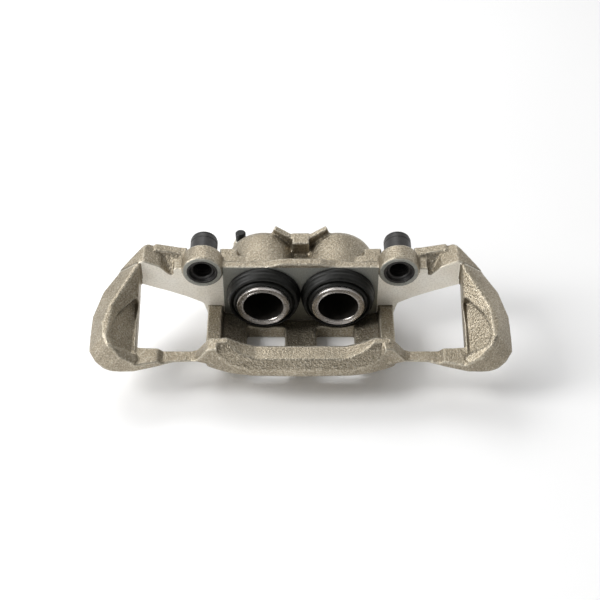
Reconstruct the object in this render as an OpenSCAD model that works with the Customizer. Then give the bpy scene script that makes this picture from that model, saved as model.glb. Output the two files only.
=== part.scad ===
// Frame-type floating brake caliper with two pistons, for a light truck front or rear disc.
// X runs along the wheel's tangent, +Y is inboard, +Z points at the wheel's centre.
// The origin is midway between the two guide bores, in the plane of the machined face.

/* [Pistons and cylinders] */
// Outside diameter of each piston
piston_d = 46; // [38:0.5:54]
// Distance between the two piston axes
piston_pitch = 65.4; // [60:0.1:80]
// Length of each piston, rim to closed end
piston_len = 50; // [40:1:60]
// How far each rim stands in front of the machined face
piston_out = 15.7; // [6:0.1:20]
// Diameter of the hollow in each piston
cup_d = 34.6; // [28:0.1:38]
// Depth of each cylinder bore behind the machined face
bore_depth = 44; // [38:1:50]
// Outside radius of each cylinder barrel
barrel_r = 32.6; // [30:0.1:36]
// Depth of the cylinder block behind the machined face
block_depth = 50; // [46:1:58]

/* [Guides] */
// Distance between the two guide bores
guide_pitch = 170; // [150:1:190]
// Height of the guide bores above the piston axes
guide_rise = 30; // [20:1:40]
// Bore in each lug that holds the rubber bush
lug_bore_d = 26.7; // [22:0.1:30]
// Outside diameter of each lug
lug_d = 35; // [32:0.1:42]
// Length of each lug
lug_len = 17; // [14:1:24]
// How far the lugs stand in front of the machined face
lug_proud = 3; // [0:0.5:6]
// Bore of each rubber bush
bush_bore_d = 16; // [10:0.5:18]
// Length of each rubber bush
bush_len = 38; // [30:1:46]

/* [Frame] */
// Distance from the machined face to the pad face of the outboard beam
pad_gap = 62; // [50:1:80]
// Half width of the frame at its widest
frame_half_w = 178.5; // [160:0.5:190]
// Half width of the side windows' outer edge
window_out_x = 139.5; // [130:0.5:150]
// Depth of the wings behind the machined face
wing_depth = 26; // [18:1:32]
// Underside of the bridge below the piston axes
foot_drop = 46; // [40:1:52]

/* [Hydraulics] */
// Major diameter of the hose port thread
port_d = 10; // [8:0.5:12]
// Depth of the hose port thread
port_len = 12; // [8:1:16]
// Shank diameter of the bleed screw
bleed_d = 8; // [6:0.5:10]

/* [Hidden] */
$fn = 96;
piston_r = piston_d / 2;
px = piston_pitch / 2;
bore_r = piston_r + 0.05;
guide_x = guide_pitch / 2;
lug_r = lug_d / 2;
lug_bore_r = lug_bore_d / 2;
mouth_r = 29.5;
mouth_depth = 5;
seal_y = 7.5;
seal_w = 4.4;
seal_depth = 2.6;
bleed_x = -54;
bleed_y = 56.5;
bleed_z = 8;
cap_hole_r = bush_bore_d / 2 + 1;
beam_front = pad_gap + 22;

// Moves a piece from the piston axes' own frame to the shared origin
module placed() {
    translate([0, 0, -guide_rise]) children();
}

// A round bar along Y
module bar(r, y0, y1, x, z) {
    translate([x, y0, z]) rotate([-90, 0, 0]) cylinder(r = r, h = y1 - y0);
}

// An outline in X and Z, drawn along Y
module along_y(y0, y1) {
    translate([0, y1, 0]) rotate([90, 0, 0]) linear_extrude(y1 - y0) children();
}

// An outline in Y and Z, drawn along X
module along_x(x0, x1) {
    translate([x0, 0, 0]) rotate([90, 0, 90]) linear_extrude(x1 - x0) children();
}

// The same piece on both sides
module both() {
    children();
    mirror([1, 0, 0]) children();
}

// A profile of radius and Y, turned about a piston or guide axis
module turned(x, z) {
    translate([x, 0, z]) rotate([-90, 0, 0]) rotate_extrude() children();
}

module block() {
    // barrels, rounded at the back
    both() turned(px, 0) polygon([
        [0, 0], [barrel_r, 0], [barrel_r, block_depth - 8],
        [barrel_r - 2.4, block_depth - 3], [barrel_r - 8, block_depth], [0, block_depth]
    ]);
    translate([-px, 0, -barrel_r]) cube([2 * px, block_depth - 4, barrel_r + 20]);
    // front flange with the machined face
    along_y(0, 8) polygon([
        [-84, 33], [-30, 33], [-18, 37], [18, 37], [30, 33], [84, 33],
        [86, -10], [82, -28], [70, -38], [50, -foot_drop],
        [-50, -foot_drop], [-70, -38], [-82, -28], [-86, -10]
    ]);
    // web from each barrel to its lug
    both() along_y(0, wing_depth - 8) polygon([[40, 28], [56, 31], [84, 32], [84, -6], [60, -22], [40, -20]]);
    // foot ribs under the barrels
    both() translate([px - 7, 0, -foot_drop]) cube([14, block_depth - 3, foot_drop - 20]);
}

module lugs() {
    both() bar(lug_r, -lug_proud, lug_len - lug_proud, guide_x, guide_rise);
    both() translate([guide_x + 16, 0, 14]) cube([9, 13, 17]);
}

module wings() {
    both() difference() {
        union() {
            along_y(0, wing_depth - 6) polygon([
                [80, 20], [102, 24], [113, 23.5], [122, 33], [126, 34.5],
                [126, 8.5], [120, 6], [100, -3], [86, -11], [80, -30]
            ]);
            // taller wall along the back
            along_y(wing_depth - 9, wing_depth) polygon([
                [52, 20], [56, 31], [104, 32.5], [127, 37.5], [127, 16], [110, 10], [88, 4], [70, 0]
            ]);
            // sloping top between the front edge and the back wall
            intersection() {
                along_x(96, 126) polygon([
                    [0, 5], [0, 23], [wing_depth - 8, 33], [wing_depth, 33], [wing_depth, 5]
                ]);
                along_y(0, wing_depth) polygon([
                    [96, 8], [96, 31], [104, 32.5], [127, 37.5], [127, 16], [110, 10]
                ]);
            }
        }
        // hollow back of the wing
        along_y(11, wing_depth + 1) polygon([
            [84, 10], [106, 16], [118, 22], [125, 30], [125, 22], [110, 12], [86, 4]
        ]);
    }
}

// One cross-section of a side arm, as a thin slice
module arm_slice(y, x_in, x_ridge, z_ridge, x_out, z_out, z_low, z_in) {
    along_y(y - 0.5, y) polygon([
        [x_in, z_low], [x_out - 6, z_low], [x_out, z_out],
        [x_ridge + 2, z_ridge], [x_ridge - 1, z_ridge], [x_in, z_in]
    ]);
}

// The end of a wing, where it turns into the arm
module wing_end() {
    w = window_out_x;
    intersection() {
        along_y(-1, wing_depth) polygon([
            [118, 29], [122, 33.5], [135.5, 40], [139, 38.7], [156, 28.5], [158.5, 22.5],
            [152, 9], [w, 9], [w, 13.5], [118, 5]
        ]);
        translate([0, 0, -1]) linear_extrude(50) polygon([
            [118, -1], [159, -1], [157.5, 1], [147, 11.5], [132.5, wing_depth - 1.5], [118, wing_depth - 1.5]
        ]);
    }
}

module arms() {
    w = window_out_x;
    both() difference() {
        union() {
            wing_end();
            hull() {
                arm_slice(-0.5, w, 139.4, 38.3, 157, 27.5, 7.5, 38);
                arm_slice(-18, w, 148, 33.5, 169.5, 21.5, 1, 15);
                arm_slice(-40, w, 160, 28, 177.2, 14, -5.3, 6);
            }
            hull() {
                arm_slice(-39.6, w, 160, 28, 177.2, 14, -5.3, 6);
                arm_slice(-56, w, 164.5, 25, frame_half_w, 6, -9, 2.5);
                arm_slice(-69, w, 162.5, 23, frame_half_w, 2, -10, -1);
            }
            hull() {
                arm_slice(-68.6, w, 162.5, 23, frame_half_w, 2, -10, -1);
                arm_slice(-77, w - 2, 158.5, 19.5, 173, -1, -10, 3);
                arm_slice(-82.5, w + 1, 150, 9, 163, -5, -8, 2);
            }
        }
        // sunk panel between the ridge and the window
        translate([w + 5, -40, 7.6]) rotate([14, 0, 0]) rotate([0, -43, 0]) linear_extrude(30) polygon([
            [-2.5, 18.5], [3.4, 18.5], [9.6, 10.3], [16.8, 0], [20.2, -8.2],
            [23, -16.5], [21, -27], [18.5, -32], [-2.5, -32]
        ]);
    }
}

// An outline in X and in Y + Z, drawn along the 45 degree slope of the frame's underside
module along_slope(points) {
    rotate([45, 0, 0]) translate([0, 0, -150]) linear_extrude(300)
        polygon([for (p = points) [p[0], p[1] * sqrt(0.5)]]);
}

// The frame's rounded outer edge under the beam and the bridge
module underside() {
    along_slope([
        [-90, 60], [-90, -81], [-84, -83], [-72, -89], [-58, -93.5], [-42, -96], [0, -97],
        [42, -96], [58, -93.5], [72, -89], [84, -83], [90, -81], [90, 60]
    ]);
}

module rails() {
    w = window_out_x;
    both() intersection() {
        translate([0, 0, -32]) linear_extrude(50) polygon([
            [70, -pad_gap], [118, -pad_gap], [w, -pad_gap], [150, -60], [154, -83],
            [w, -83], [125, -79], [108, -74.5], [70, -75]
        ]);
        along_y(-90, -50) polygon([
            [70, -32], [70, 12], [78, 10.5], [82, 5], [88, -3], [92, -4.5], [117, -4.5], [121, -1], [w + 1, 0],
            [155, 1], [155, -11], [w, -13], [116, -28], [108, -32]
        ]);
        along_slope([
            [60, 40], [60, -91], [76, -83], [88, -79], [108, -80], [122, -85], [w, -90], [156, -91], [156, 40]
        ]);
    }
}

module beam() {
    intersection() {
        along_x(-80, 80) polygon([
            [-pad_gap, 13], [-pad_gap - 4, 13], [-pad_gap - 10, 8], [-pad_gap - 16, 0], [-beam_front + 1, -6],
            [-beam_front, -11], [-beam_front + 1, -15], [-beam_front + 4, -18], [-60, -38],
            [-46, -38], [-52, -33], [-pad_gap, -24]
        ]);
        along_y(-90, -40) polygon([
            [-80, -40], [-80, 8], [-76, 12], [-62, 12], [-50, 5.5], [-38, 1.5],
            [38, 1.5], [50, 5.5], [62, 12], [76, 12], [80, 8], [80, -40]
        ]);
        translate([0, 0, -50]) linear_extrude(70) polygon([
            [-80, -40], [-80, -72], [-74, -74], [-60, -80], [-42, -83.5], [0, -84.5], [42, -83.5], [60, -80],
            [74, -74], [80, -72], [80, -40]
        ]);
        underside();
    }
}

module bridge() {
    intersection() {
        along_y(-64, 8) polygon([
            [-82, -14], [-69, -14], [-69, -23], [-48, -30], [0, -34], [48, -30], [69, -23],
            [69, -14], [82, -14],
            [82, -28], [70, -38], [50, -foot_drop], [-50, -foot_drop], [-70, -38], [-82, -28]
        ]);
        underside();
    }
}

module top_ribs() {
    // centre lug between the barrels
    translate([-7.5, 30, 12]) cube([15, 14, 21]);
    // slanting ribs from the lug to the back of the barrels, rising backwards
    both() translate([4, 41, 20]) rotate([0, 0, -68]) rotate([18, 0, 0]) cube([5, 24, 11]);
}

module bosses() {
    translate([bleed_x, bleed_y, -6]) cylinder(r = 7, h = bleed_z + 6);
    translate([bleed_x - 7, block_depth - 6, -6]) cube([14, 12.5, bleed_z + 6]);
    bar(11, block_depth - 12, block_depth + 5, 0, 0);
}

module cylinder_bore(x) {
    bar(bore_r, -1, bore_depth, x, 0);
    bar(mouth_r, -1, mouth_depth, x, 0);
    bar(piston_r + seal_depth, seal_y, seal_y + seal_w, x, 0);
}

module passages() {
    // hose port and the cross hole between the cylinders
    bar(port_d / 2, block_depth + 5 - port_len, block_depth + 6, 0, 0);
    bar(2, bore_depth - 8, block_depth, 0, 0);
    translate([-12, bore_depth - 6, 0]) rotate([0, 90, 0]) cylinder(r = 2, h = 24);
    // bleed screw hole and its short hole into the cylinder
    translate([bleed_x, bleed_y, 0]) cylinder(r = bleed_d / 2 + 0.05, h = 20);
    bar(1.5, bore_depth - 2, bleed_y, bleed_x, 1.6);
}

module housing() color("tan") placed() difference() {
    union() {
        block();
        lugs();
        wings();
        arms();
        rails();
        beam();
        bridge();
        top_ribs();
        bosses();
    }
    cylinder_bore(-px);
    cylinder_bore(px);
    both() bar(lug_bore_r, -lug_proud - 1, lug_len, guide_x, guide_rise);
    both() bar(14.3, lug_len - lug_proud, wing_depth + 1, guide_x, guide_rise);
    // clearance round the boots
    both() bar(33.6, -20, 0, px, 0);
    // inspection windows in the bridge
    both() translate([14, -58, -60]) cube([34, 48, 40]);
    passages();
}

module piston(x) placed() color("silver") turned(x, 0) polygon([
    [0, piston_len - piston_out], [piston_r - 1, piston_len - piston_out],
    [piston_r, piston_len - piston_out - 2],
    [piston_r, 10 - piston_out], [piston_r, 6 - piston_out], [piston_r - 1.6, 6 - piston_out],
    [piston_r - 1.6, 3 - piston_out], [piston_r, 3 - piston_out], [piston_r, 0.8 - piston_out],
    [piston_r - 0.8, -piston_out], [cup_d / 2 + 0.6, -piston_out], [cup_d / 2, 0.6 - piston_out],
    [cup_d / 2, 40 - piston_out], [cup_d / 2 - 3, 43 - piston_out], [0, 43 - piston_out]
]);

module piston_seal(x) placed() color("dimgray") turned(x, 0) polygon([
    [piston_r + 0.04, seal_y + 0.1], [piston_r + seal_depth - 0.05, seal_y + 0.1],
    [piston_r + seal_depth - 0.05, seal_y + seal_w - 0.1], [piston_r + 0.04, seal_y + seal_w - 0.1]
]);

module dust_boot(x) placed() color("black") turned(x, 0) polygon([
    [mouth_r - 0.05, mouth_depth - 0.1], [mouth_r - 0.05, -0.05], [32.3, -0.05], [32.4, -2.4], [31.4, -6],
    [30.2, -9.4], [28.6, -11.2], [27, -11], [26.3, -9.4], [25.6, -11.4], [24.6, -12.6], [21.7, -12.6],
    [21.7, -9.9], [23.4, -9.9], [24.4, -8.6], [26, -6.2], [27.4, -8.6], [28.4, -8.4], [29.2, -6],
    [29.8, -2.4], [27.4, -2], [26.6, 0], [26.6, mouth_depth - 0.1]
]);

module boot_ring(x) placed() color("silver") turned(x, 0) polygon([
    [25.4, 0.4], [26.55, 0.4], [26.55, 4.6], [25.4, 4.6]
]);

module guide_bush(x) placed() color("black") turned(x, guide_rise) polygon([
    [cap_hole_r, bush_len - lug_proud], [12, bush_len - lug_proud], [12, lug_len - lug_proud + 0.6],
    [13.8, lug_len - lug_proud + 0.6], [13.8, lug_len - lug_proud + 0.05],
    [lug_bore_r, lug_len - lug_proud + 0.05],
    [lug_bore_r, 0.6 - lug_proud], [lug_bore_r - 0.6, -lug_proud], [lug_bore_r - 2.4, -lug_proud],
    [lug_bore_r - 3, 1 - lug_proud], [lug_bore_r - 3, 0], [bush_bore_d / 2, 0],
    [bush_bore_d / 2, bush_len - lug_proud - 6], [cap_hole_r, bush_len - lug_proud - 6]
]);

module guide_cap(x) placed() color("black") turned(x, guide_rise) polygon([
    [0, bush_len - lug_proud - 5.4], [cap_hole_r - 0.05, bush_len - lug_proud - 5.4],
    [cap_hole_r - 0.05, bush_len - lug_proud + 0.3], [11.4, bush_len - lug_proud + 0.3],
    [11.4, bush_len - lug_proud + 1.6], [10.2, bush_len - lug_proud + 2.4], [0, bush_len - lug_proud + 2.4]
]);

module bleed_screw() placed() color("silver") translate([bleed_x, bleed_y, 0]) {
    difference() {
        union() {
            translate([0, 0, 0.4]) cylinder(r1 = 1.6, r2 = bleed_d / 2 - 0.6, h = 2.4);
            translate([0, 0, 2.8]) cylinder(r = bleed_d / 2, h = bleed_z - 2.2);
            translate([0, 0, bleed_z + 0.3]) cylinder(r = 5.2, h = 4, $fn = 6);
            translate([0, 0, bleed_z + 4]) cylinder(r = 2.6, h = 6);
            translate([0, 0, bleed_z + 8]) cylinder(r1 = 3.2, r2 = 2.6, h = 3);
        }
        translate([0, 0, 3.6]) cylinder(r = 1, h = 30);
    }
}

module bleed_cap() placed() color("black") translate([bleed_x, bleed_y, bleed_z + 4.6]) difference() {
    union() {
        cylinder(r = 4.6, h = 7.4);
        translate([0, 0, 7.4]) cylinder(r1 = 4.6, r2 = 3.2, h = 1.2);
    }
    translate([0, 0, -1]) cylinder(r = 3.25, h = 8);
}

housing();
piston(-px);  // piston_left
piston(px);  // piston_right
piston_seal(-px);  // piston_seal_left
piston_seal(px);  // piston_seal_right
dust_boot(-px);  // dust_boot_left
dust_boot(px);  // dust_boot_right
boot_ring(-px);  // boot_ring_left
boot_ring(px);  // boot_ring_right
guide_bush(-guide_x);  // guide_bush_left
guide_bush(guide_x);  // guide_bush_right
guide_cap(-guide_x);  // guide_cap_left
guide_cap(guide_x);  // guide_cap_right
bleed_screw();
bleed_cap();
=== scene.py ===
import math

import bmesh
import bpy
import numpy as np
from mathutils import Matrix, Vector


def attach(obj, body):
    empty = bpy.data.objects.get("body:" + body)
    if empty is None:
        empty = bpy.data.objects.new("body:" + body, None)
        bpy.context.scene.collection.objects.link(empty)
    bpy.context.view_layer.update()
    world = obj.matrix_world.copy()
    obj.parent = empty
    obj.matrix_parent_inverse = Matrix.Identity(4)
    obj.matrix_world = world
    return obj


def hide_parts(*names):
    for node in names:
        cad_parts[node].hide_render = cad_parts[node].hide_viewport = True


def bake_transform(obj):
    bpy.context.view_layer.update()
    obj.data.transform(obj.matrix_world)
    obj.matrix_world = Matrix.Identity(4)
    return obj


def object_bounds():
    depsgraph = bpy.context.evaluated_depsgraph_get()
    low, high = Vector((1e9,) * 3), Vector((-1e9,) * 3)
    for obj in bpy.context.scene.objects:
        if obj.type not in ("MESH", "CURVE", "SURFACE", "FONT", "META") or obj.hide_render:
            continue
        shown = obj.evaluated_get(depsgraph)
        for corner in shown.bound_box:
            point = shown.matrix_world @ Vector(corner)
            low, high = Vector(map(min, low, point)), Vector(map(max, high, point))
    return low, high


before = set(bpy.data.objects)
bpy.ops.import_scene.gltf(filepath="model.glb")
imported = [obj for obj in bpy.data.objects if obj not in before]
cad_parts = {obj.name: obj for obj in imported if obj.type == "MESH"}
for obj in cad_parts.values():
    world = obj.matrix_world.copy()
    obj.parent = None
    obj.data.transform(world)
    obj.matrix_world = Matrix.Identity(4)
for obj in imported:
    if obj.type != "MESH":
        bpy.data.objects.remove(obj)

cad_box = [list(corner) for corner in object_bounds()]

# ---------------------------------------------------------------- the casting
# One sand-cast iron piece, blasted and dipped in a pale zinc-aluminium flake coating.
# Its outer skin is rough and its corners are round, and only the face around the boots,
# the lugs' fronts, the bores and the pads' bearing face are machined afterwards. The wings'
# fronts get a paler, less metallic copy of the coating: painted light, standing in for the light that falls
# on them.


class Amount:
    """One number or colour that runs through a paint, usable in sums."""

    def __init__(self, paint, socket):
        self.paint = paint
        self.socket = socket

    def sum(self, operation, first, second):
        return self.paint.mix("ShaderNodeMath", {"operation": operation}, **{"0": first, "1": second})

    def __add__(self, other):
        return self.sum("ADD", self, other)

    def __radd__(self, other):
        return self.sum("ADD", other, self)

    def __mul__(self, other):
        return self.sum("MULTIPLY", self, other)

    def __rmul__(self, other):
        return self.sum("MULTIPLY", other, self)

    def __sub__(self, other):
        return self.sum("SUBTRACT", self, other)

    def __rsub__(self, other):
        return self.sum("SUBTRACT", other, self)

    def __pow__(self, other):
        return self.sum("POWER", self, other)

    def between(self, low, high):
        """0 below low, 1 above high, straight between them."""
        ends = {"From Min": low, "From Max": high}
        return self.paint.mix("ShaderNodeMapRange", {"clamp": True}, Value=self, **ends)


class Paint:
    """A finish, built up from one principled shader."""

    def __init__(self, name, **fixed):
        self.material = bpy.data.materials.new(name)
        self.material.use_nodes = True
        self.tree = self.material.node_tree
        self.shader = next(node for node in self.tree.nodes if node.type == "BSDF_PRINCIPLED")
        for socket, value in fixed.items():
            self.shader.inputs[socket.replace("_", " ")].default_value = value

    def mix(self, kind, settings=None, out=0, **sockets):
        """One more node: its settings first, then what its sockets hold or are fed."""
        node = self.tree.nodes.new(kind)
        for key, value in (settings or {}).items():
            setattr(node, key, value)
        for key, value in sockets.items():
            target = node.inputs[int(key)] if key.isdigit() else node.inputs[key.replace("_", " ")]
            if isinstance(value, Amount):
                self.tree.links.new(value.socket, target)
            else:
                target.default_value = value
        return Amount(self, node.outputs[out])

    def place(self):
        """Where a point of the piece is, in metres."""
        return self.mix("ShaderNodeTexCoord", out="Object")

    def along(self, axis):
        """How far along one of the piece's own axes, in metres."""
        return self.mix("ShaderNodeSeparateXYZ", Vector=self.place(), out=axis)

    def from_axis(self):
        """How far from the piece's own turning axis, in metres."""
        return (self.along("X") ** 2 + self.along("Z") ** 2) ** 0.5

    def grain(self, size, detail=2.0):
        """Soft lumps of about this size in metres, from 0 to 1."""
        return self.mix("ShaderNodeTexNoise", Vector=self.place(), Scale=1 / size, Detail=detail)

    def rings(self, distance, size):
        """Fine tool marks of about this size in metres, across a distance."""
        settings = {"noise_dimensions": "1D"}
        return self.mix("ShaderNodeTexNoise", settings, W=distance, Scale=1 / size, Detail=3.0)

    def edges(self):
        """Above 0.5 on outer edges, below in corners."""
        return self.mix("ShaderNodeNewGeometry", out="Pointiness")

    def colours(self, amount, *stops):
        """Runs through (position, colour) stops."""
        node = self.tree.nodes.new("ShaderNodeValToRGB")
        ramp = node.color_ramp
        while len(ramp.elements) < len(stops):
            ramp.elements.new(1)
        for element, (position, colour) in zip(ramp.elements, stops):
            element.position = position
            element.color = (*colour, 1)
        self.tree.links.new(amount.socket, node.inputs["Fac"])
        return Amount(self, node.outputs["Color"])

    def over(self, mask, under, top):
        """One colour over another, as far as the mask lets it."""
        colour = (*top, 1) if isinstance(top, tuple) else top
        layers = {"0": mask, "6": under, "7": colour}
        return self.mix("ShaderNodeMix", {"data_type": "RGBA"}, out=2, **layers)

    def finish(self, colour=None, roughness=None, metallic=None, height=None, depth=0.0002, strength=1.0):
        """Feeds the shader, with height as a bump so deep in metres."""
        for socket, value in (("Base Color", colour), ("Roughness", roughness), ("Metallic", metallic)):
            if value is not None:
                self.tree.links.new(value.socket, self.shader.inputs[socket])
        if height is not None:
            bump = self.mix("ShaderNodeBump", Height=height, Distance=depth, Strength=strength)
            self.tree.links.new(bump.socket, self.shader.inputs["Normal"])
        return self.material


coat = Paint("cast_coating")
lumps = coat.grain(0.0024, 1)
fine = coat.grain(0.0013, 2)
broad = coat.grain(0.03, 3)
stain = coat.grain(0.011, 4)
tint = coat.colours(broad, (0.3, (0.275, 0.235, 0.172)), (0.7, (0.40, 0.348, 0.265)))
tint = coat.over((1 - fine).between(0.46, 0.72) * 0.62, tint, (0.10, 0.083, 0.055))
tint = coat.over(fine.between(0.54, 0.72) * 0.32, tint, (0.82, 0.79, 0.70))
tint = coat.over(stain.between(0.56, 0.74) * 0.3, tint, (0.26, 0.235, 0.19))
# painted shade: concave corners and creases are darkened
tint = coat.over((1 - coat.edges()).between(0.5, 0.55) * 0.7, tint, (0.08, 0.068, 0.048))
# paler outer edges: partly rubbed coating, partly painted highlight
tint = coat.over(coat.edges().between(0.505, 0.56) * 0.55, tint, (0.72, 0.68, 0.58))
cast_coating = coat.finish(
    colour=tint,
    roughness=0.30 + 0.22 * fine,
    metallic=0.84 + 0.12 * broad,
    height=lumps * 0.6 + fine * 0.8 + broad * 0.2,
    depth=0.0008,
    strength=0.95,
)

cut = Paint("machined_face", Metallic=0.8)
swirl = cut.grain(0.0011, 4)
machined_face = cut.finish(
    colour=cut.colours(swirl, (0.3, (0.27, 0.275, 0.25)), (0.75, (0.42, 0.42, 0.385))),
    roughness=0.36 + 0.2 * swirl,
    height=swirl,
    depth=0.00012,
    strength=0.6,
)

# painted light: a paler copy of the cast coating for the wings' fronts, painted lighter for the light that
# falls on them
painted_light = Paint("painted_light_coating")
scuff = painted_light.grain(0.0016, 3)
drift = painted_light.grain(0.02, 3)
painted_light_tint = painted_light.colours(drift, (0.3, (0.90, 0.84, 0.73)), (0.7, (0.98, 0.945, 0.86)))
painted_light_coating = painted_light.finish(
    colour=painted_light.over((1 - scuff).between(0.45, 0.7) * 0.3, painted_light_tint, (0.42, 0.38, 0.30)),
    roughness=0.40 + 0.16 * scuff,
    metallic=0.30 + 0.12 * drift,
    height=scuff,
    depth=0.0004,
    strength=0.6,
)

piston_x = 0.0327
piston_z = -0.030
guide_x = 0.085
lug_front_y = -0.003
pad_face_y = -0.062
cut_half_width = 0.0675
cylinder_r = 0.02325
cylinder_end_y = 0.0443
lug_bore_r = 0.01340
sand_voxel = 0.0008
sand_passes = 12


def new_piece(name, mesh_maker, *paints):
    """A piece from a bmesh that the maker fills."""
    mesh = bpy.data.meshes.new(name)
    shape = bmesh.new()
    mesh_maker(shape)
    shape.to_mesh(mesh)
    shape.free()
    piece = bpy.data.objects.new(name, mesh)
    bpy.context.scene.collection.objects.link(piece)
    for paint in paints:
        mesh.materials.append(paint)
    return piece


def cast_from(node, voxel, passes):
    """A copy of a CAD piece with every corner rounded, as sand leaves it."""
    rough = bpy.data.objects.new("pattern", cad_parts[node].data.copy())
    bpy.context.scene.collection.objects.link(rough)
    skin = rough.modifiers.new("skin", "REMESH")
    skin.mode = "VOXEL"
    skin.voxel_size = voxel
    round_off = rough.modifiers.new("round_off", "SMOOTH")
    round_off.factor = 0.5
    round_off.iterations = passes
    graph = bpy.context.evaluated_depsgraph_get()
    graph.update()
    mesh = bpy.data.meshes.new_from_object(rough.evaluated_get(graph))
    bpy.data.objects.remove(rough)
    mesh.materials.clear()
    return mesh


shell = cast_from("housing", sand_voxel, sand_passes)
shell.name = "casting"
count = len(shell.vertices)
spots = np.empty(count * 3)
shell.vertices.foreach_get("co", spots)
spots = spots.reshape(-1, 3)
across, inboard, up = spots[:, 0], spots[:, 1], spots[:, 2]
from_piston = np.hypot(np.abs(across) - piston_x, up - piston_z)
from_guide = np.hypot(np.abs(across) - guide_x, up)

# the cutter's flats: the face round the boots, the wings' and lugs' fronts and the pads' bearing face
round_boots = (np.abs(across) < cut_half_width) & (up < 0.0035) & (up > -0.070)
on_face = round_boots & (np.abs(inboard) < 0.0014) & (from_piston > 0.030)
on_lug = (from_guide < 0.0168) & (from_guide > 0.0128) & (np.abs(inboard - lug_front_y) < 0.0014)
on_wing = (np.abs(across) >= cut_half_width) & (np.abs(inboard) < 0.0013)
on_wing &= (from_guide > 0.0178) & (up > -0.060)
on_pad = (np.abs(across) < 0.066) & (np.abs(inboard - pad_face_y) < 0.0012) & (up > -0.062)
inboard[on_face | on_wing] = 0
inboard[on_lug] = lug_front_y
inboard[on_pad] = pad_face_y
# the reamer's walls in the lugs
in_bore = (np.abs(from_guide - 0.01335) < 0.0009) & (inboard > -0.0035) & (inboard < 0.0135)
reach = lug_bore_r / from_guide[in_bore]
side = np.sign(across[in_bore]) * guide_x
across[in_bore] = side + (across[in_bore] - side) * reach
up[in_bore] = up[in_bore] * reach
# the cylinders, bored to size right to their ends
in_cylinder = (np.abs(from_piston - 0.0230) < 0.0015) & (inboard > 0.0045) & (inboard < 0.0428)
reach = cylinder_r / from_piston[in_cylinder]
side = np.sign(across[in_cylinder]) * piston_x
across[in_cylinder] = side + (across[in_cylinder] - side) * reach
up[in_cylinder] = piston_z + (up[in_cylinder] - piston_z) * reach
at_end = (from_piston < 0.0237) & (np.abs(inboard - 0.0440) < 0.0013)
inboard[at_end] = cylinder_end_y
shell.vertices.foreach_set("co", spots.ravel())

cut_here = on_face | on_lug | on_pad | in_bore | in_cylinder | at_end
corners = np.empty(len(shell.loops), dtype=np.int32)
shell.loops.foreach_get("vertex_index", corners)
first = np.empty(len(shell.polygons), dtype=np.int32)
shell.polygons.foreach_get("loop_start", first)
shell.materials.append(cast_coating)
shell.materials.append(machined_face)
flat = cut_here | on_wing
# the wings' front faces take the painted-light copy of the coating
painted_light_faces = on_wing[corners[first]] & on_wing[corners[first + 2]]
cut_faces = flat[corners[first]] & flat[corners[first + 2]] & ~painted_light_faces
shell.materials.append(painted_light_coating)
shell.polygons.foreach_set("material_index", cut_faces.astype(np.int32) + 2 * painted_light_faces.astype(np.int32))
shell.polygons.foreach_set("use_smooth", np.ones(len(shell.polygons), dtype=bool))
shell.update()
casting = bpy.data.objects.new("casting", shell)
bpy.context.scene.collection.objects.link(casting)
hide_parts("housing")
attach(casting, "frame")

# ---------------------------------------------------------------- the pistons
# Two deep-drawn steel cups, phosphated inside and ground outside, the inside painted near
# black: dark phosphate with painted shade of the hollow on top. The open rim is turned
# flat where it bears on the pad, and a groove behind it holds the boot's inner bead.


def soften(outline, times):
    """Cuts every corner of a closed outline, and again, until it is round."""
    for _ in range(times):
        rounder = []
        for (r0, y0), (r1, y1) in zip(outline, outline[1:] + outline[:1]):
            rounder.append((r0 * 0.75 + r1 * 0.25, y0 * 0.75 + y1 * 0.25))
            rounder.append((r0 * 0.25 + r1 * 0.75, y0 * 0.25 + y1 * 0.75))
        outline = rounder
    return outline


def turned(name, outline, at, *paints, steps=128, second=None, crease=35):
    """A closed outline in radius and Y, in millimetres, spun about the axis through a place."""

    def spin(shape):
        rings = []
        for step in range(steps):
            angle = 2 * math.pi * step / steps
            ring = []
            for r, y in outline:
                spot = (r * math.cos(angle) / 1000, y / 1000, r * math.sin(angle) / 1000)
                ring.append(shape.verts.new(spot))
            rings.append(ring)
        for this, following in zip(rings, rings[1:] + rings[:1]):
            for a, b, c, d in zip(this, this[1:] + this[:1], following[1:] + following[:1], following):
                shape.faces.new((a, b, c, d))
        bmesh.ops.remove_doubles(shape, verts=shape.verts, dist=0.000002)
        bmesh.ops.dissolve_degenerate(shape, dist=0.000001, edges=shape.edges)
        bmesh.ops.recalc_face_normals(shape, faces=shape.faces)
        for face in shape.faces:
            face.smooth = True
            middle = face.calc_center_median()
            if second and second(math.hypot(middle.x, middle.z) * 1000, middle.y * 1000):
                face.material_index = 1

    piece = new_piece(name, spin, *paints)
    piece.location = at
    piece.data.set_sharp_from_angle(angle=math.radians(crease))
    return piece


steel = Paint("piston_rim", Metallic=1.0)
marks = steel.rings(steel.from_axis(), 0.00035)
handled = steel.grain(0.006, 4)
shade = steel.colours(marks, (0.3, (0.40, 0.37, 0.35)), (0.7, (0.70, 0.67, 0.64)))
piston_rim = steel.finish(
    colour=steel.over(handled.between(0.5, 0.75) * 0.35, shade, (0.30, 0.24, 0.20)),
    roughness=0.20 + 0.16 * handled,
    height=marks,
    depth=0.00008,
)

# painted shade: the cup's inside is dark phosphate darkened further to near black, for the shade in its
# hollow
phosphate_and_shade = Paint("piston_inside", Metallic=0.25)
bloom = phosphate_and_shade.grain(0.005, 5)
draw_lines = phosphate_and_shade.rings(phosphate_and_shade.along("Y"), 0.0006)
piston_inside = phosphate_and_shade.finish(
    colour=phosphate_and_shade.colours(bloom, (0.3, (0.010, 0.009, 0.007)), (0.75, (0.026, 0.021, 0.016))),
    roughness=0.50 + 0.2 * bloom,
    height=draw_lines * 0.5 + bloom * 0.5,
    depth=0.0001,
)

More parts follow.
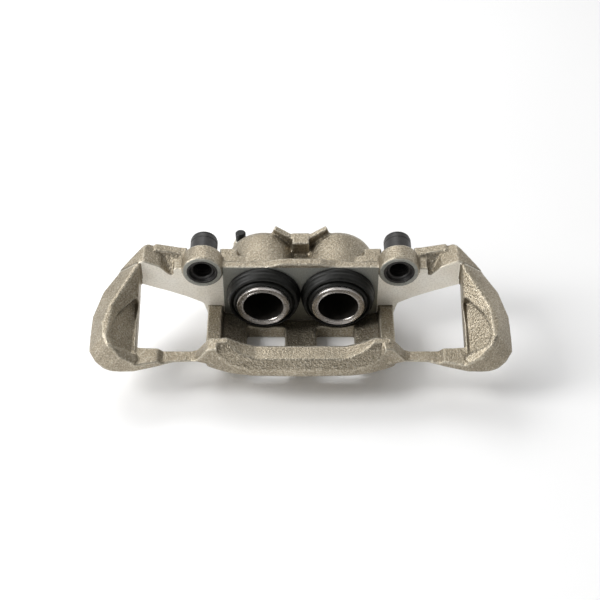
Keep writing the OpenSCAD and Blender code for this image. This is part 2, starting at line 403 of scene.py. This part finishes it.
cup_outline = [
    (0, 34.3), (20.5, 34.3), (22.2, 33.6), (23.0, 31.8), (23.0, -9.7), (21.45, -9.9),
    (21.45, -12.6), (23.0, -12.8), (23.0, -14.7), (22.7, -15.4), (22.1, -15.7), (20.9, -15.7),
    (20.7, -15.45), (19.3, -15.45), (19.1, -15.7), (18.4, -15.7), (17.7, -15.4), (17.35, -14.8),
    (17.3, -13.5), (17.3, 22.0), (16.6, 25.2), (14.3, 27.1), (0, 27.3),
]
for side, sign in (("left", -1), ("right", 1)):
    axis = (sign * piston_x, 0, piston_z)
    cup = turned("piston_cup_" + side, cup_outline, axis, piston_rim, piston_inside,
                 second=lambda r, y: y > -14.2 and r < 17.34)
    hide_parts("piston_" + side)
    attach(cup, side + "_piston")

# ---------------------------------------------------------------- the boots, their rings and the seals
# Black EPDM bellows, moulded in one piece. A steel ring inside the outer bead holds it in
# the casting's mouth, and the inner bead snaps into the piston's groove. A square-section
# seal sits deeper in each bore.
rubber = Paint("boot_rubber", Specular_IOR_Level=0.28)
dust = rubber.grain(0.004, 5)
mould = rubber.rings(rubber.from_axis(), 0.0009)
boot_rubber = rubber.finish(
    colour=rubber.colours(dust, (0.35, (0.0035, 0.0035, 0.003)), (0.8, (0.011, 0.011, 0.009))),
    roughness=0.34 + 0.22 * dust,
    height=mould * 0.5 + dust * 0.5,
    depth=0.00012,
)

boot_outline = soften([
    (29.4, 4.6), (29.4, -0.1), (32.2, -0.1), (32.8, -1.2), (32.5, -3.2), (31.7, -4.6), (31.9, -6.0),
    (30.9, -8.2), (30.5, -10.2), (29.0, -11.6), (27.7, -11.3), (26.9, -9.4), (26.2, -9.6),
    (25.7, -11.8), (24.6, -12.9), (23.2, -12.7), (21.7, -12.5), (21.7, -10.1), (23.3, -9.9),
    (24.4, -9.4), (25.2, -6.6), (26.4, -6.0), (27.6, -8.3), (28.4, -8.3), (29.2, -6.0),
    (29.9, -2.4), (27.4, -1.8), (26.7, 0.2), (26.7, 4.6),
], 2)
for side, sign in (("left", -1), ("right", 1)):
    boot = turned("bellows_" + side, boot_outline, (sign * piston_x, 0, piston_z), boot_rubber, crease=60)
    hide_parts("dust_boot_" + side)
    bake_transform(boot)


def finish_nodes(paint, *nodes):
    """Gives CAD pieces their finish."""
    for node in nodes:
        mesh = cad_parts[node].data
        mesh.materials.clear()
        mesh.materials.append(paint)


pressed = Paint("ring_steel", Metallic=0.9)
pressing = pressed.grain(0.003, 4)
ring_steel = pressed.finish(
    colour=pressed.colours(pressing, (0.3, (0.34, 0.33, 0.31)), (0.7, (0.52, 0.51, 0.49))),
    roughness=0.3 + 0.2 * pressing,
    height=pressing,
    depth=0.00005,
)
finish_nodes(ring_steel, "boot_ring_left", "boot_ring_right")
finish_nodes(boot_rubber, "piston_seal_left", "piston_seal_right")

# ---------------------------------------------------------------- the guide bushes and their caps
# Thick rubber bushes pushed through the lugs from the front. Each has a rolled lip in front,
# a long barrel behind, and ribs inside that keep the pin's grease in. A plug shuts the far end.
bush_rubber_paint = Paint("bush_rubber", Specular_IOR_Level=0.45)
bush_dust = bush_rubber_paint.grain(0.003, 5)
bush_turns = bush_rubber_paint.rings(bush_rubber_paint.along("Y"), 0.0014)
bush_rubber = bush_rubber_paint.finish(
    colour=bush_rubber_paint.colours(bush_dust, (0.35, (0.010, 0.0095, 0.009)), (0.8, (0.032, 0.029, 0.026))),
    roughness=0.32 + 0.2 * bush_dust,
    height=bush_turns * 0.5 + bush_dust * 0.5,
    depth=0.0001,
)

bush_outline = [
    (9.0, 35.0), (11.4, 35.0), (12.0, 34.4), (12.0, 30.4), (11.7, 30.1), (11.7, 29.5), (12.0, 29.2),
    (12.0, 15.4), (12.5, 14.7), (13.5, 14.6), (13.8, 14.35), (13.8, 14.1), (13.3, 14.05),
    (13.3, -2.2), (13.0, -2.9), (12.2, -3.1), (11.4, -2.8), (11.1, -2.0), (10.9, -0.6),
    (10.6, -0.2), (9.9, -0.5), (9.3, -0.7), (8.6, -0.4), (8.1, 0.3), (8.05, 1.4), (8.4, 2.2),
    (8.4, 4.0), (8.05, 4.7), (8.4, 5.4), (8.4, 7.2), (8.05, 7.9), (8.4, 8.6), (8.4, 27.6),
    (8.05, 28.4), (8.05, 28.9), (9.0, 29.0),
]
cap_outline = [
    (0, 29.6), (6.6, 29.6), (7.0, 30.0), (8.6, 30.0), (8.95, 30.4), (8.95, 35.3), (11.1, 35.3),
    (11.4, 35.6), (11.4, 36.4), (11.0, 36.9), (10.2, 37.3), (8.4, 37.4), (7.9, 37.0), (5.4, 37.0),
    (4.9, 37.4), (0, 37.4),
]
for side, sign in (("left", -1), ("right", 1)):
    bush = turned("bush_" + side, bush_outline, (sign * guide_x, 0, 0), bush_rubber, steps=96)
    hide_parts("guide_bush_" + side)
    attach(bush, "frame")
    plug = turned("plug_" + side, cap_outline, (sign * guide_x, 0, 0), bush_rubber, steps=96)
    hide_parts("guide_cap_" + side)
    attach(plug, side + "_cap")

# ---------------------------------------------------------------- the bleed screw and its cap
# A zinc-plated steel screw with a hexagon and a hose barb, screwed down into its boss. A soft
# rubber cap with moulded bands is pushed over the barb to keep water out.
zinc = Paint("zinc_plate", Metallic=0.95)
clouds = zinc.grain(0.002, 4)
zinc_plate = zinc.finish(
    colour=zinc.colours(clouds, (0.3, (0.50, 0.47, 0.36)), (0.7, (0.70, 0.69, 0.62))),
    roughness=0.24 + 0.2 * clouds,
    height=clouds,
    depth=0.00005,
)
finish_nodes(zinc_plate, "bleed_screw")
finish_nodes(boot_rubber, "bleed_cap")

# ---------------------------------------------------------------- floor, light and camera
# A plain white studio floor in a white room whose front is dark, with soft boxes behind, at
# the left and low in front.
floor = new_piece("floor", lambda shape: bmesh.ops.create_grid(shape, x_segments=1, y_segments=1, size=6))
floor.location.z = cad_box[0][2] - 0.0002
pale = Paint("pale_floor", Roughness=0.9)
paper = pale.grain(0.4, 2)
paper_tint = pale.colours(paper, (0.2, (0.93, 0.93, 0.93)), (0.8, (0.96, 0.96, 0.96)))
floor.data.materials.append(pale.finish(colour=paper_tint))


def lamp(name, place, aim, size, watts):
    light = bpy.data.lights.new(name, "AREA")
    light.shape = "RECTANGLE"
    light.size, light.size_y = size
    light.energy = watts
    thing = bpy.data.objects.new(name, light)
    thing.location = place
    thing.rotation_euler = (Vector(aim) - Vector(place)).to_track_quat("-Z", "Y").to_euler()
    bpy.context.scene.collection.objects.link(thing)


lamp("back_box", (-0.5, 0.9, 1.2), (0, 0, 0), (1.2, 0.6), 8)
lamp("left_box", (-1.2, -0.2, 0.9), (0, 0, 0), (0.5, 0.9), 17)
lamp("low_box", (-0.3, -1.5, 0.25), (0, 0, 0), (1.4, 0.35), 5)
world = bpy.data.worlds.new("studio")
bpy.context.scene.world = world
world.use_nodes = True
sky = world.node_tree
facing = sky.nodes.new("ShaderNodeVectorMath")
facing.operation = "DOT_PRODUCT"
facing.inputs[1].default_value = (0.25, -0.66, 0.70)
sky.links.new(sky.nodes.new("ShaderNodeTexCoord").outputs["Generated"], facing.inputs[0])
dimming = sky.nodes.new("ShaderNodeMapRange")
dimming.inputs["From Min"].default_value = 0.25
dimming.inputs["From Max"].default_value = 0.9
dimming.inputs["To Min"].default_value = 0.9
dimming.inputs["To Max"].default_value = 0.12
sky.links.new(facing.outputs["Value"], dimming.inputs["Value"])
sky.nodes["Background"].inputs["Color"].default_value = (1, 1, 1, 1)
sky.links.new(dimming.outputs["Result"], sky.nodes["Background"].inputs["Strength"])
bpy.context.scene.view_settings.view_transform = "Standard"

tilt = math.radians(46.5)
aim = Vector((-0.0006, -0.0071, -0.030))
eye = bpy.data.cameras.new("camera")
eye.lens = 36 * 1.141 * 1150 / 600
camera = bpy.data.objects.new("camera", eye)
camera.location = aim + 1.15 * Vector((0, -math.cos(tilt), math.sin(tilt)))
camera.rotation_euler = (math.pi / 2 - tilt, 0, 0)
bpy.context.scene.collection.objects.link(camera)
bpy.context.scene.camera = camera
